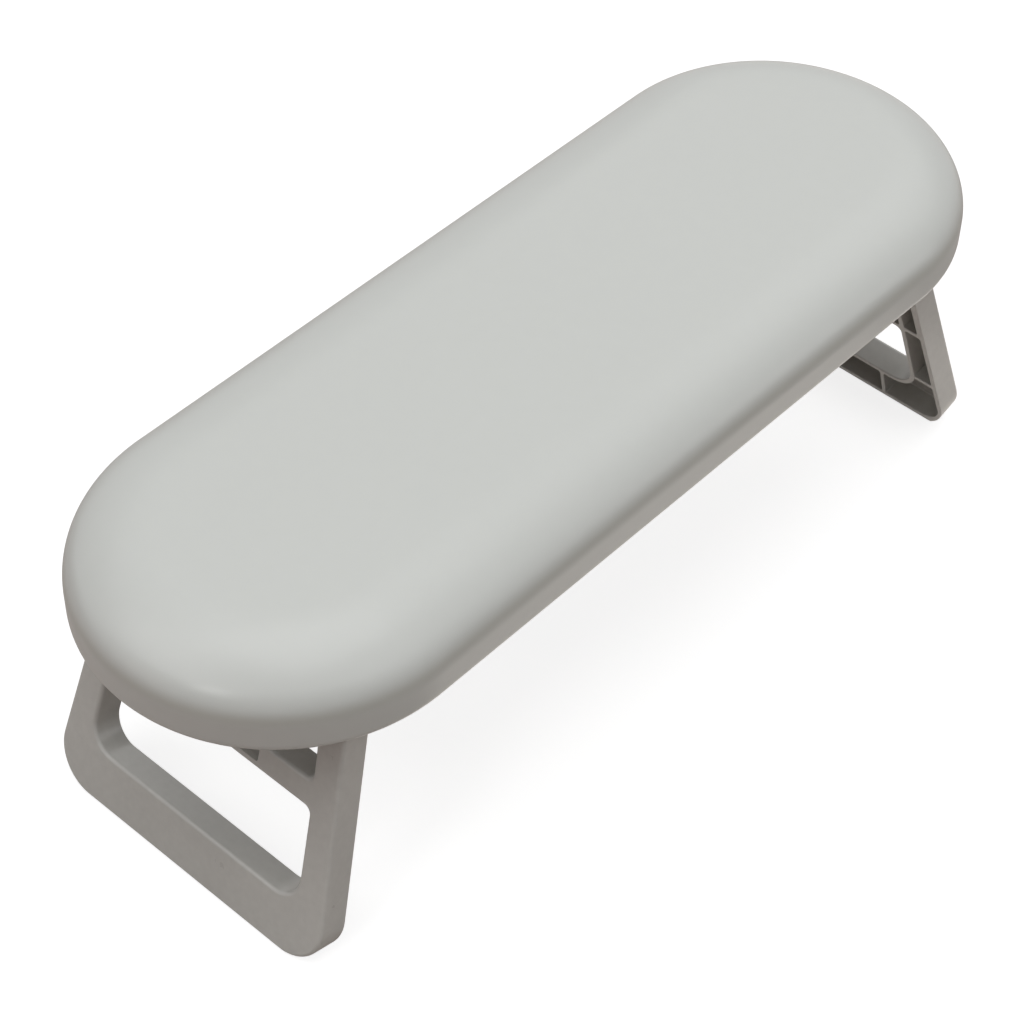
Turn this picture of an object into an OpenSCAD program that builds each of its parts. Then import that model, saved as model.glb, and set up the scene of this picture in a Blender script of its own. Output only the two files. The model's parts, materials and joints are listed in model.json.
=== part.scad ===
// Folding manicure hand rest: a long padded board on two splayed legs that fold up under it.
// X runs along the board, Y across it and Z up. The origin is on the table, under the board's middle.
// Left is -X, right is +X, front is -Y and back is +Y. The legs are drawn open.

/* [Padded board] */
// Length of the board over its round ends
pad_l = 335; // [324:1:356]
// Width of the board
pad_w = 120; // [115:1:126]
// Height of the pad from its lower rim to its top
pad_t = 27.5; // [25.5:0.5:32]
// Height of the upright side
side_h = 9.9; // [8.5:0.1:11]
// Width of the soft roll between the side and the flat top
roll_w = 24.9; // [20:0.1:30]
// Radius of the roll where it leaves the side
roll_r = 13.5; // [11:0.1:14.5]
// Radius of the lower edge, where the cover turns under
rim_r = 3.8; // [3.2:0.1:4.6]
// Thickness of the cover
cover_t = 1; // [0.6:0.1:1.4]
// Thickness of the stiff board inside the pad
core_t = 3; // [2:0.1:4.5]
// Distance from the pad's edge in to the edge of the stiff board
core_inset = 4; // [3:0.1:8]

/* [Tray] */
// Thickness of the tray's flat roof
roof_t = 2; // [1.6:0.1:2.6]
// Thickness of the tray's skirt
skirt_t = 3; // [2.6:0.1:3.4]
// Thickness of the tray's ribs
rib_t = 1.6; // [1.2:0.1:2.4]
// Height of the tray's ribs
rib_h = 6; // [3:0.5:8]
// Distance between the ribs that run along the board
rib_pitch = 22; // [16:1:26]
// Width of the ribbed box in each round end
end_box_w = 34; // [24:1:40]

/* [Stand] */
// Height of the board's lower rim above the table
rim_z = 85.2; // [78:0.2:92]
// Angle by which each open leg splays out from upright
splay = 17.1; // [14:0.1:19]
// Distance from the board's end in to the hinge
hinge_inset = 45.1; // [42:0.1:48]

/* [Legs] */
// Depth of a leg frame, from its outer face to its open back
leg_t = 9.8; // [9:0.1:11]
// Thickness of a leg's outer face
web_t = 2; // [1.6:0.1:2.6]
// Thickness of a leg's walls
wall_t = 1.8; // [1.4:0.1:2.4]
// Thickness of the outer walls above the window
upper_wall_t = 2.6; // [2:0.1:3]
// Thickness of the ribs inside a leg
leg_rib_t = 1.5; // [1.1:0.1:2]
// Height of the foot bar
foot_bar_h = 18.3; // [16:0.1:21]
// Height of the window
window_h = 33.7; // [28:0.1:36]
// Height of the bar above the window
top_bar_h = 9.3; // [8.6:0.1:11]
// Width of a post beside the foot of the window
post_low_w = 10.8; // [9.8:0.1:12.5]
// Width of a post from the top of the window to the hinge
post_w = 9.7; // [8.8:0.1:10.6]
// How far each side of a leg draws in from its foot to its hinge
leg_draw = 8.3; // [7.2:0.1:9.2]
// Radius of a leg's lower corners
foot_r = 14; // [11:0.5:16]
// Radius of the window's lower corners
window_low_r = 8.5; // [6:0.5:11]
// Radius of the window's upper corners
window_top_r = 2.4; // [1.5:0.1:4]
// Radius where the top bar meets the posts above it
bar_r = 2; // [1:0.1:4]
// Length of the solid end of each post, below the hinge
knuckle_l = 8; // [7:0.1:10]
// Height of the rib across each post, above the foot
post_rib_v = 25.2; // [22:0.1:32]
// Distance between the upright ribs in the foot bar
foot_rib_pitch = 19.7; // [16:0.1:21]
// Width of the slot in the middle of the top bar
slot_w = 38.8; // [30:0.2:50]

/* [Foot pads] */
// Thickness of a foot pad
grip_t = 0.8; // [0.5:0.1:1.5]
// Length of a foot pad
grip_l = 16; // [12:0.5:18]
// Width of a foot pad
grip_w = 6; // [4:0.1:8]
// Distance from a leg's widest place in to the middle of a foot pad
grip_in = 23.2; // [23:0.1:28]

/* [Hinges] */
// Diameter of a hinge pin
pin_d = 3; // [2.4:0.1:3.4]
// Length of pin held at each side of the leg's post
pin_hold = 5; // [4.4:0.1:5.2]
// Length of the ears that hold a pin, along the board
ear_l = 11; // [9:0.1:12]
// Thickness of a hinge cap
cap_t = 2.3; // [2:0.1:2.6]
// Distance from the pin's end to the cap's inner screw
cap_screw_in = 3.2; // [2.8:0.1:3.6]
// Distance from the hinge out to the cap's outer screw
cap_screw_out = 11; // [10.4:0.1:12]
// Length of cap beyond its outer screw
cap_end = 3.6; // [3:0.1:4]

/* [Screws] */
// Diameter of a screw's shank
screw_d = 2.6; // [2.2:0.1:2.8]
// Diameter of a hinge cap screw's countersunk head
flat_head_d = 4.6; // [4.2:0.1:5]
// Height of a countersunk head
flat_head_h = 1.3; // [1:0.1:1.6]
// Depth that a hinge cap screw goes into the tray
cap_screw_l = 5.6; // [4.5:0.1:6]
// Diameter of a tray screw's pan head
pan_head_d = 5.6; // [5:0.1:6]
// Height of a pan head
pan_head_h = 1.9; // [1.4:0.1:2.2]
// Diameter of a fold clip screw's shank
clip_screw_d = 1.8; // [1.4:0.1:2]
// Diameter of a fold clip screw's head
clip_head_d = 3.4; // [2.8:0.1:3.6]
// Height of a fold clip screw's head
clip_head_h = 1.2; // [0.8:0.1:1.5]
// Depth of the cross in a screw's head
cross_depth = 0.8; // [0.5:0.1:1]

/* [Fold clips] */
// Thickness of a fold clip's metal
clip_t = 0.7; // [0.5:0.1:0.8]
// Width of a fold clip's spring leaves
leaf_w = 12; // [10:0.5:15]
// Length of a fold clip's base
clip_l = 26; // [24:0.5:32]

/* [Clearances] */
// Gap between a folded leg and the plane of the rim
recess_gap = 0.3; // [0.2:0.1:0.6]
// Gap between a folded leg and the tray's roof
roof_gap = 0.5; // [0.4:0.1:0.8]
// Gap between a folded leg's widest place and the skirt
skirt_gap = 1.8; // [1.2:0.1:3]
// Gap between a folded foot and the ribs in the board's middle
foot_gap = 2.5; // [2:0.1:4]
// Gap between a post and the ears beside it
ear_gap = 0.4; // [0.3:0.1:0.6]
// Running gap all round a hinge pin
pin_gap = 0.05; // [0.03:0.01:0.1]
// Gap between a hinge pin and the cap under it
cap_gap = 0.2; // [0.1:0.1:0.4]
// Gap between an open leg and the stop that it leans on
stop_gap = 0.3; // [0.2:0.1:0.5]
// Gap at each end of a hinge pin
pin_end_gap = 0.2; // [0.1:0.1:0.4]
// Gap between a hinge cap and the skirt
cap_side_gap = 0.3; // [0.2:0.1:0.6]
// Gap between a relaxed fold clip and the bar that it grips
clip_gap = 0.65; // [0.6:0.05:0.8]
// Gap round a screw's shank
screw_gap = 0.05; // [0.03:0.01:0.1]
// Thickness of stiff board left above a tray screw
screw_cover = 0.4; // [0.3:0.1:0.8]

/* [Hidden] */

// Number of flats that make each rounded corner of an outline
arc_steps = 8;
// Number of sides of the board's round ends, and of the small round pieces
end_sides = 96;
round_sides = 48;
// Overrun of every cut past the face that it goes through
over = 1;

// Outline of the board
half_w = pad_w / 2;
straight_l = pad_l - pad_w;

// Roll of the pad: a small arc from the side, then a larger one that ends level with the flat top
roll_h = pad_t - side_h;
crown_r = (pow(roll_w - roll_r, 2) + pow(roll_h, 2) - pow(roll_r, 2)) / (2 * (roll_h - roll_r));
roll_turn = atan2(crown_r - roll_h, roll_w - roll_r);

// Heights above the rim
axis_z = recess_gap + leg_t / 2;
roof_z = recess_gap + leg_t + roof_gap;
core_z = roof_z + roof_t;
cap_top_z = axis_z - pin_d / 2 - cap_gap;
cap_z = cap_top_z - cap_t;

// Inside of the skirt
skirt_in = half_w - cover_t - skirt_t;

// Hinge: its place along the board, and the height of a leg from its foot up to it, along the leg
hinge_x = pad_l / 2 - hinge_inset;
hinge_z = rim_z + axis_z;
hinge_v = (hinge_z - grip_t + leg_t / 2 * sin(splay)) / cos(splay);

// Leg outline. Sizes named _v are heights above the foot, measured along the leg
leg_wide = skirt_in - skirt_gap;
knuckle_v = hinge_v - knuckle_l;
knuckle_out = leg_wide - leg_draw;
knuckle_in = knuckle_out - post_w;
knuckle_mid = (knuckle_out + knuckle_in) / 2;
window_v = foot_bar_h;
bar_v = window_v + window_h;
bar_top_v = bar_v + top_bar_h;
channel_v = leg_t * tan(splay) + wall_t;

// Foot on the table
foot_out_x = hinge_x + leg_t / 2 * cos(splay) + hinge_v * sin(splay);
foot_mid_x = foot_out_x - leg_t / 2 / cos(splay);
grip_y = leg_wide - grip_in;

// Hinge pin, and the ears and cap that hold it
pin_l = post_w + 2 * (ear_gap + pin_hold);
inner_ear_w = pin_hold + 2 * cap_screw_in;
cap_screw_y = knuckle_in - ear_gap - pin_hold - cap_screw_in;
cap_out = cap_screw_out + cap_end;

// Fold clip, which reaches into the top bar of a folded leg
clip_in_l = top_bar_h - 2 * wall_t;
clip_w = clip_in_l - 2 * clip_gap;
clip_x = hinge_x - hinge_v + (bar_v + bar_top_v) / 2;
clip_h = roof_z - recess_gap - web_t - roof_gap;
clip_screw_y = (clip_l + leaf_w) / 4;

// Ribbed middle of the tray, between the folded feet
middle_x = hinge_x - hinge_v - grip_t - foot_gap;

// Tray screws: one in each round end, two in each folded leg's window and four in the middle
end_screw_x = (hinge_x + cap_out + pad_l / 2 - cover_t - skirt_t) / 2;
window_screw_x = hinge_x - hinge_v + window_v + window_h / 2;
window_screw_y = knuckle_in - inner_ear_w;
middle_screw_x = middle_x / 2;
middle_screw_y = 2 * rib_pitch - rib_pitch / 2;
tray_screw_l = roof_t + core_t - screw_cover;
clip_screw_l = clip_t + roof_t + core_t / 2;

// Length of a leg's outline below its foot, which the level cut takes off
foot_trim = leg_t / 30;

// Half-width of a leg's outline at the height v
function leg_half(v) = v > knuckle_v ? knuckle_out
  : leg_wide - leg_draw * (v - foot_r) / (knuckle_v - foot_r);

// Half-width of the space between the posts at the height v, from the window's top up
function post_inner(v) = leg_half(v) - post_w;

// Points along an arc about a centre
function arc(centre, r, from, to) = [for (k = [0 : arc_steps])
  centre + r * [cos(from + (to - from) * k / arc_steps), sin(from + (to - from) * k / arc_steps)]];

// Half of the pad's cross-section, drawn in by an inset: lower edge, upright side, roll and flat top
function pad_section(inset) = concat(
  [[0, inset]],
  arc([half_w - rim_r, rim_r], rim_r - inset, -90, 0),
  arc([half_w - roll_r, side_h], roll_r - inset, 0, roll_turn),
  arc([half_w - roll_w, pad_t - crown_r], crown_r - inset, roll_turn, 90),
  [[0, pad_t - inset]]);

// Direction from one point to the next, and the outward normal of an anticlockwise outline there
function heading(a, b) = (b - a) / norm(b - a);
function outward(a, b) = [heading(a, b)[1], -heading(a, b)[0]];

// Anticlockwise outline with each side moved out by a distance
function grown(pts, by) = let (n = len(pts)) [for (i = [0 : n - 1])
  let (n1 = outward(pts[(i + n - 1) % n], pts[i]), n2 = outward(pts[i], pts[(i + 1) % n]))
  pts[i] + by * (n1 + n2) / (1 + n1 * n2)];

// One corner of an outline, rounded to a radius
function corner(before, at, after, r) = r <= 0 ? [at] :
  let (d1 = heading(at, before), d2 = heading(at, after), half_angle = acos(d1 * d2) / 2,
       centre = at + heading([0, 0], d1 + d2) * r / sin(half_angle),
       start = at + d1 * r / tan(half_angle) - centre, end = at + d2 * r / tan(half_angle) - centre,
       from = atan2(start[1], start[0]), sweep = (atan2(end[1], end[0]) - from + 540) % 360 - 180)
  arc(centre, r, from, from + sweep);

// Outline with its corners rounded to a list of radii
function rounded(pts, radii) = let (n = len(pts)) [for (i = [0 : n - 1])
  each corner(pts[(i + n - 1) % n], pts[i], pts[(i + 1) % n], radii[i])];

// Outlines of a leg, its window and the space above its top bar
leg_pts = let (low = leg_half(-foot_trim)) [[-low, -foot_trim], [low, -foot_trim],
  [knuckle_out, knuckle_v], [knuckle_out, hinge_v], [-knuckle_out, hinge_v], [-knuckle_out, knuckle_v]];
window_pts = let (low = leg_half(window_v) - post_low_w, high = post_inner(bar_v))
  [[-low, window_v], [low, window_v], [high, bar_v], [-high, bar_v]];
gap_pts = let (low = post_inner(bar_top_v))
  [[-low, bar_top_v], [low, bar_top_v], [knuckle_in, knuckle_v], [knuckle_in, hinge_v + leg_t],
   [-knuckle_in, hinge_v + leg_t], [-knuckle_in, knuckle_v]];
channel_pts = let (low = leg_half(channel_v) - wall_t, mid = leg_half(bar_v) - wall_t,
    upper = leg_half(bar_v) - upper_wall_t, top = knuckle_out - upper_wall_t)
  [[-low, channel_v], [low, channel_v], [mid, bar_v], [upper, bar_v], [top, knuckle_v],
   [-top, knuckle_v], [-upper, bar_v], [-mid, bar_v]];

// Board pieces are drawn from the rim's plane up
module on_board() {
  translate([0, 0, rim_z]) children();
}

// The four corners of the object: mirrored to the left for left = 1 and to the front for front = 1
module at_corner(left, front) {
  mirror([left, 0, 0]) mirror([0, front, 0]) children();
}

// A half cross-section carried round the board's outline
module round_board() {
  for (end = [0, 1])
    mirror([end, 0, 0]) translate([straight_l / 2, 0, 0]) rotate([0, 0, -90])
      rotate_extrude(angle = 180, $fn = end_sides) children();
  translate([-straight_l / 2, 0, 0]) rotate([90, 0, 90]) linear_extrude(straight_l) {
    children();
    mirror([1, 0]) children();
  }
}

// The board's plan at a half-width
module board_plan(half) {
  square([straight_l, 2 * half], center = true);
  for (side = [-1, 1])
    translate([side * straight_l / 2, 0]) circle(half, $fn = end_sides);
}

// A leg, drawn upright about its hinge axis, is put at its splay on the right
module at_leg() {
  translate([hinge_x, 0, hinge_z]) rotate([0, -splay, 0]) children();
}

// A plan in leg heights is made solid between two depths, where the outer face is leg_t / 2
module leg_slab(from, to) {
  translate([from, 0, -hinge_v]) rotate([90, 0, 90]) linear_extrude(to - from) children();
}

// A screw that points up from its head's underside, with a cross cut in the head
module screw(shank_d, shank_l, head_d, head_h, countersunk) {
  cross_l = head_d * 3 / 5;
  cross_t = head_d / 7;
  difference() {
    union() {
      cylinder(h = shank_l, d = shank_d, $fn = round_sides);
      translate([0, 0, -head_h])
        cylinder(h = head_h, d1 = head_d, d2 = countersunk ? shank_d : head_d, $fn = round_sides);
    }
    for (turn = [0, 90])
      translate([0, 0, -head_h]) rotate([0, 0, turn])
        cube([cross_l, cross_t, 2 * cross_depth], center = true);
  }
}

// A plain hole for a screw's shank
module shank_hole(shank_d, depth) {
  cylinder(h = depth, d = shank_d + 2 * screw_gap, $fn = round_sides);
}

// Places of the tray's screws
module at_tray_screws() {
  for (left = [0, 1])
    mirror([left, 0, 0]) {
      translate([end_screw_x, 0, roof_z]) children();
      for (y = [-window_screw_y, window_screw_y])
        translate([window_screw_x, y, roof_z]) children();
      for (y = [-middle_screw_y, middle_screw_y])
        translate([middle_screw_x, y, roof_z]) children();
    }
}

// Places of one fold clip's screws
module at_clip_screws() {
  for (y = [-clip_screw_y, clip_screw_y])
    translate([clip_x, y, roof_z - clip_t]) children();
}

// Places of one hinge cap's screws, where the countersinks meet the shanks
module at_cap_screws() {
  translate([hinge_x, cap_screw_y, cap_z + flat_head_h]) children();
  translate([hinge_x + cap_screw_out, knuckle_mid, cap_z + flat_head_h]) children();
}

module cover_skin() {
  color([0.78, 0.79, 0.78]) on_board() round_board() difference() {
    polygon(pad_section(0));
    polygon(pad_section(cover_t));
    translate([-over, -over]) square([skirt_in + over, cover_t + 2 * over]);
  }
}

module foam_pad() {
  color([0.9, 0.86, 0.7]) on_board() round_board() difference() {
    polygon(pad_section(cover_t));
    translate([-over, -over]) square([pad_w, core_z + over]);
    translate([-over, -over]) square([half_w - core_inset + over, core_z + core_t + over]);
  }
}

module core_board() {
  color([0.72, 0.58, 0.4]) on_board() difference() {
    translate([0, 0, core_z]) linear_extrude(core_t) board_plan(half_w - core_inset);
    at_tray_screws() shank_hole(screw_d, tray_screw_l + screw_gap);
    for (left = [0, 1])
      mirror([left, 0, 0]) at_clip_screws() shank_hole(clip_screw_d, clip_screw_l + screw_gap);
  }
}

// Ears and boss of one hinge, on the right at the back
module hinge_block() {
  translate([0, 0, cap_top_z]) linear_extrude(roof_z - cap_top_z + roof_t / 2) intersection() {
    union() {
      translate([hinge_x - ear_l / 2, knuckle_in - ear_gap - inner_ear_w]) square([ear_l, inner_ear_w]);
      translate([hinge_x - ear_l / 2, knuckle_out + ear_gap]) square([ear_l, half_w]);
      translate([hinge_x + cap_screw_out, knuckle_mid]) circle(cap_end, $fn = round_sides);
    }
    board_plan(skirt_in + skirt_t / 2);
  }
}

// Space of one hinge pin in the tray, open below so that the pin goes in from there
module pin_slot() {
  slot_l = pin_l + 2 * pin_end_gap;
  slot_r = pin_d / 2 + pin_gap;
  translate([hinge_x, knuckle_mid, axis_z]) {
    rotate([90, 0, 0]) cylinder(h = slot_l, r = slot_r, center = true, $fn = round_sides);
    translate([-slot_r, -slot_l / 2, -axis_z]) cube([2 * slot_r, slot_l, axis_z]);
  }
}

// Ribs of the tray: a grid in the middle and a box in each round end
module tray_ribs() {
  rib_top = roof_z + roof_t / 2;
  translate([0, 0, roof_z - rib_h]) linear_extrude(rib_top - roof_z + rib_h) intersection() {
    union() {
      for (x = [-middle_x, middle_x - rib_t])
        translate([x, -half_w]) square([rib_t, pad_w]);
      for (k = [-2 : 2])
        translate([-middle_x, k * rib_pitch - rib_t / 2]) square([2 * middle_x, rib_t]);
      for (left = [0, 1], y = [-end_box_w / 2, end_box_w / 2 - rib_t])
        mirror([left, 0]) translate([hinge_x + cap_out, y]) square([hinge_inset, rib_t]);
      for (left = [0, 1])
        mirror([left, 0]) translate([hinge_x + cap_out, -end_box_w / 2]) square([rib_t, end_box_w]);
    }
    board_plan(skirt_in + skirt_t / 2);
  }
}

module base_tray() {
  color([0.55, 0.54, 0.52]) on_board() difference() {
    union() {
      difference() {
        round_board() intersection() {
          polygon(pad_section(cover_t));
          square([half_w, core_z]);
        }
        translate([0, 0, -over]) linear_extrude(roof_z + over) board_plan(skirt_in);
      }
      for (left = [0, 1], front = [0, 1])
        at_corner(left, front) hinge_block();
      tray_ribs();
    }
    for (left = [0, 1], front = [0, 1])
      at_corner(left, front) {
        pin_slot();
        at_cap_screws() shank_hole(screw_d, cap_t - flat_head_h + cap_screw_l + cap_gap);
      }
    at_tray_screws() translate([0, 0, -over]) shank_hole(screw_d, roof_t + 2 * over);
    for (left = [0, 1])
      mirror([left, 0, 0]) at_clip_screws() shank_hole(clip_screw_d, clip_t + roof_t + over);
  }
}

module tray_screws() {
  color([0.75, 0.75, 0.77]) on_board() at_tray_screws()
    screw(screw_d, tray_screw_l, pan_head_d, pan_head_h, false);
}

// One hollow-backed leg frame about its hinge axis
module leg_frame() {
  back = -leg_t / 2;
  face = leg_t / 2;
  difference() {
    union() {
      leg_slab(back, face) difference() {
        polygon(rounded(leg_pts, [foot_r, foot_r, 0, 0, 0, 0]));
        polygon(rounded(window_pts, [window_low_r, window_low_r, window_top_r, window_top_r]));
        polygon(rounded(gap_pts, [bar_r, bar_r, 0, 0, 0, 0]));
      }
      for (front = [0, 1])
        mirror([0, front, 0]) translate([0, knuckle_out, 0]) rotate([90, 0, 0])
          cylinder(h = post_w, r = leg_t / 2, $fn = round_sides);
    }
    leg_slab(back - over, face - web_t) leg_channel();
    leg_slab(face - web_t - over, face + over)
      translate([-slot_w / 2, bar_v + wall_t]) square([slot_w, top_bar_h - 2 * wall_t]);
    for (front = [0, 1])
      mirror([0, front, 0]) translate([0, knuckle_out + over, 0]) rotate([90, 0, 0])
        cylinder(h = post_w + 2 * over, r = pin_d / 2 + pin_gap, $fn = round_sides);
  }
}

// Plan of the channel in a leg's back: the outline inside its walls, less the walls and ribs in it
module leg_channel() {
  channel_r = max(foot_r - wall_t - channel_v, wall_t);
  difference() {
    polygon(rounded(channel_pts, [channel_r, channel_r, 0, 0, 0, 0, 0, 0]));
    polygon(rounded(grown(window_pts, wall_t),
      [window_low_r + wall_t, window_low_r + wall_t, window_top_r + wall_t, window_top_r + wall_t]));
    polygon(grown(gap_pts, wall_t));
    for (k = [-3 : 2 : 3])
      translate([k * foot_rib_pitch / 2 - leg_rib_t / 2, 0]) square([leg_rib_t, window_v]);
    for (front = [0, 1])
      mirror([front, 0]) {
        translate([post_inner(bar_v), post_rib_v]) square([leg_wide, leg_rib_t]);
        translate([post_inner(bar_v), bar_v]) square([leg_wide, wall_t]);
        polygon([[post_inner(bar_v), bar_v], [post_inner(bar_v) + wall_t, bar_v],
          [post_inner(bar_top_v) + wall_t, bar_top_v + bar_r],
          [post_inner(bar_top_v), bar_top_v + bar_r]]);
      }
  }
}

// A leg frame in place on the right, with its foot cut level with the table
module placed_leg() {
  color([0.56, 0.55, 0.52]) difference() {
    at_leg() leg_frame();
    translate([hinge_x, -half_w, grip_t - hinge_v]) cube([pad_l, pad_w, hinge_v]);
  }
}

module left_leg_frame() {
  mirror([1, 0, 0]) placed_leg();
}

module right_leg_frame() {
  placed_leg();
}

// A foot pad in place on the right at the back
module foot_pad() {
  color([0.2, 0.2, 0.2]) translate([foot_mid_x, grip_y, 0]) linear_extrude(grip_t) {
    square([grip_w, grip_l - grip_w], center = true);
    for (side = [-1, 1])
      translate([0, side * (grip_l - grip_w) / 2]) circle(d = grip_w, $fn = round_sides);
  }
}

module left_front_foot_pad() {
  at_corner(1, 1) foot_pad();
}

module left_back_foot_pad() {
  at_corner(1, 0) foot_pad();
}

module right_front_foot_pad() {
  at_corner(0, 1) foot_pad();
}

module right_back_foot_pad() {
  at_corner(0, 0) foot_pad();
}

// A hinge pin in place on the right at the back, with a bevel at each end
module hinge_pin() {
  bevel = pin_d / 8;
  color([0.78, 0.78, 0.8]) translate([hinge_x, knuckle_mid - pin_l / 2, hinge_z]) rotate([-90, 0, 0]) {
    cylinder(h = bevel, d1 = pin_d - 2 * bevel, d2 = pin_d, $fn = round_sides);
    translate([0, 0, bevel]) cylinder(h = pin_l - 2 * bevel, d = pin_d, $fn = round_sides);
    translate([0, 0, pin_l - bevel])
      cylinder(h = bevel, d1 = pin_d, d2 = pin_d - 2 * bevel, $fn = round_sides);
  }
}

module left_front_hinge_pin() {
  at_corner(1, 1) hinge_pin();
}

module left_back_hinge_pin() {
  at_corner(1, 0) hinge_pin();
}

module right_front_hinge_pin() {
  at_corner(0, 1) hinge_pin();
}

module right_back_hinge_pin() {
  at_corner(0, 0) hinge_pin();
}

// A hinge cap in place on the right at the back. It closes the pin's slot from below, and its
// sloping inner face is the stop that the open leg leans on
module hinge_cap() {
  color([0.5, 0.49, 0.47]) on_board() difference() {
    translate([0, 0, cap_z]) linear_extrude(cap_t) intersection() {
      translate([hinge_x - ear_l / 2, knuckle_in - ear_gap - inner_ear_w])
        square([ear_l / 2 + cap_out, half_w]);
      board_plan(skirt_in - cap_side_gap);
    }
    translate([hinge_x, 0, axis_z]) rotate([0, -splay, 0])
      translate([-pad_w, knuckle_in - ear_gap, -pad_w])
        cube([pad_w + leg_t / 2 + stop_gap, post_w + 2 * ear_gap, 2 * pad_w]);
    at_cap_screws() {
      shank_hole(screw_d, cap_t);
      translate([0, 0, -flat_head_h]) cylinder(h = flat_head_h,
        d1 = flat_head_d + 2 * screw_gap, d2 = screw_d + 2 * screw_gap, $fn = round_sides);
    }
  }
}

module left_front_hinge_cap() {
  at_corner(1, 1) hinge_cap();
}

module left_back_hinge_cap() {
  at_corner(1, 0) hinge_cap();
}

module right_front_hinge_cap() {
  at_corner(0, 1) hinge_cap();
}

module right_back_hinge_cap() {
  at_corner(0, 0) hinge_cap();
}

module hinge_cap_screws() {
  color([0.75, 0.75, 0.77]) on_board() for (left = [0, 1], front = [0, 1])
    at_corner(left, front) at_cap_screws()
      screw(screw_d, cap_t - flat_head_h + cap_screw_l, flat_head_d, flat_head_h, true);
}

// A spring clip in place on the right: a flat base under the roof and two leaves that hang from it
module fold_clip() {
  color([0.7, 0.7, 0.72]) on_board() difference() {
    union() {
      translate([clip_x - clip_w / 2, -clip_l / 2, roof_z - clip_t]) cube([clip_w, clip_l, clip_t]);
      for (x = [clip_x - clip_w / 2, clip_x + clip_w / 2 - clip_t])
        translate([x, -leaf_w / 2, roof_z - clip_h]) cube([clip_t, leaf_w, clip_h]);
    }
    at_clip_screws() translate([0, 0, -over]) shank_hole(clip_screw_d, clip_t + 2 * over);
  }
}

module left_fold_clip() {
  mirror([1, 0, 0]) fold_clip();
}

module right_fold_clip() {
  fold_clip();
}

module fold_clip_screws() {
  color([0.75, 0.75, 0.77]) on_board() for (left = [0, 1])
    mirror([left, 0, 0]) at_clip_screws()
      screw(clip_screw_d, clip_screw_l, clip_head_d, clip_head_h, false);
}

cover_skin();
foam_pad();
core_board();
base_tray();
tray_screws();
left_leg_frame();
right_leg_frame();
left_front_foot_pad();
left_back_foot_pad();
right_front_foot_pad();
right_back_foot_pad();
left_front_hinge_pin();
left_back_hinge_pin();
right_front_hinge_pin();
right_back_hinge_pin();
left_front_hinge_cap();
left_back_hinge_cap();
right_front_hinge_cap();
right_back_hinge_cap();
hinge_cap_screws();
left_fold_clip();
right_fold_clip();
fold_clip_screws();
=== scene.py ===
"""Looks of a folding manicure hand rest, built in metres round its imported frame.

X runs along the board, Y across it and Z up. The left leg stands at -X, the right leg at +X, and the
front is at -Y. Every piece stays where the frame has it, and rides on the body that carries it.
"""

import json
import logging
import math
from dataclasses import dataclass
from enum import Enum

import bmesh
import bpy
import numpy as np
from mathutils import Matrix, Vector
from mathutils.geometry import delaunay_2d_cdt


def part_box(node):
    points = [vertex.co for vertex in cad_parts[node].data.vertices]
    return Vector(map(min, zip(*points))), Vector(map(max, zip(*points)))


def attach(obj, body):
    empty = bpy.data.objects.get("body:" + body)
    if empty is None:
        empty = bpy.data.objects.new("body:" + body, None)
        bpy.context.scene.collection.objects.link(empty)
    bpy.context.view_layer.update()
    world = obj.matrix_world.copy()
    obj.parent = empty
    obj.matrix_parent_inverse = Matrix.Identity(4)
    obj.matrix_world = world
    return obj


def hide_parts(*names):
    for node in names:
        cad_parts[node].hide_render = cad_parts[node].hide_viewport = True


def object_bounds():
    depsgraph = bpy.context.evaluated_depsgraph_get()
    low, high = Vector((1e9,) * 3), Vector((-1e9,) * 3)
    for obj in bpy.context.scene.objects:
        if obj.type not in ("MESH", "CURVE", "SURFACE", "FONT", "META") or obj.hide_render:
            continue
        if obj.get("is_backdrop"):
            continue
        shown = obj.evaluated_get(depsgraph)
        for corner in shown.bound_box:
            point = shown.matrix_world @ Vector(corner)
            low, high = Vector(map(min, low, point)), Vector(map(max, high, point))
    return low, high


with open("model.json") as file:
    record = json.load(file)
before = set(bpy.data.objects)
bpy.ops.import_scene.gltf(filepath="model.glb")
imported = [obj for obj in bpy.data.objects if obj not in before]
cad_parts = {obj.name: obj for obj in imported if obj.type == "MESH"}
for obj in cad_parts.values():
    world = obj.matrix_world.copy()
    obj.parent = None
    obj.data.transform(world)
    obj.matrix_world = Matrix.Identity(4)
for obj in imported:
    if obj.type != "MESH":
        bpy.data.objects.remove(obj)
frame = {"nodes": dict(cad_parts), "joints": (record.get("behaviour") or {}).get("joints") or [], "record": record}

Tree, Socket, Material = bpy.types.NodeTree, bpy.types.NodeSocket, bpy.types.Material
Pair, Triple = tuple[float, float], tuple[float, float, float]

LOG = logging.getLogger("hand_rest")
PHOTO_PIXELS = 1024
MM = 0.001
# Points closer than this count as one: in metres, and in millimetres where a flat patch is filled.
WELD = 2e-6
FLAT_WELD = 1e-7
# Heights that agree to this many decimals of a metre are the same.
KEPT_DECIMALS = 9
# Edges that turn by more than this stay sharp.
SHARP_TURN = math.radians(40)
FLAT_FACE_WEIGHT = 100
# The longest steps of a rounded path, and the fewest steps of an arc.
ARC_STEP = math.radians(6)
RUN_STEP = 4 * MM
LEAST_ARC_STEPS = 4
# Where a grain's creases end in its cells, and how much finer its noise and its gloss are than the
# cells and the broad tone.
CREASE_REACH = 0.35
NOISE_PER_CELL = 2
GLOSS_PER_BROAD = 4


class Side(Enum):
    """The two ends of the board."""

    LEFT = -1
    RIGHT = 1

    @property
    def label(self) -> str:
        """Name of the side as the nodes spell it."""
        return self.name.lower()


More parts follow.
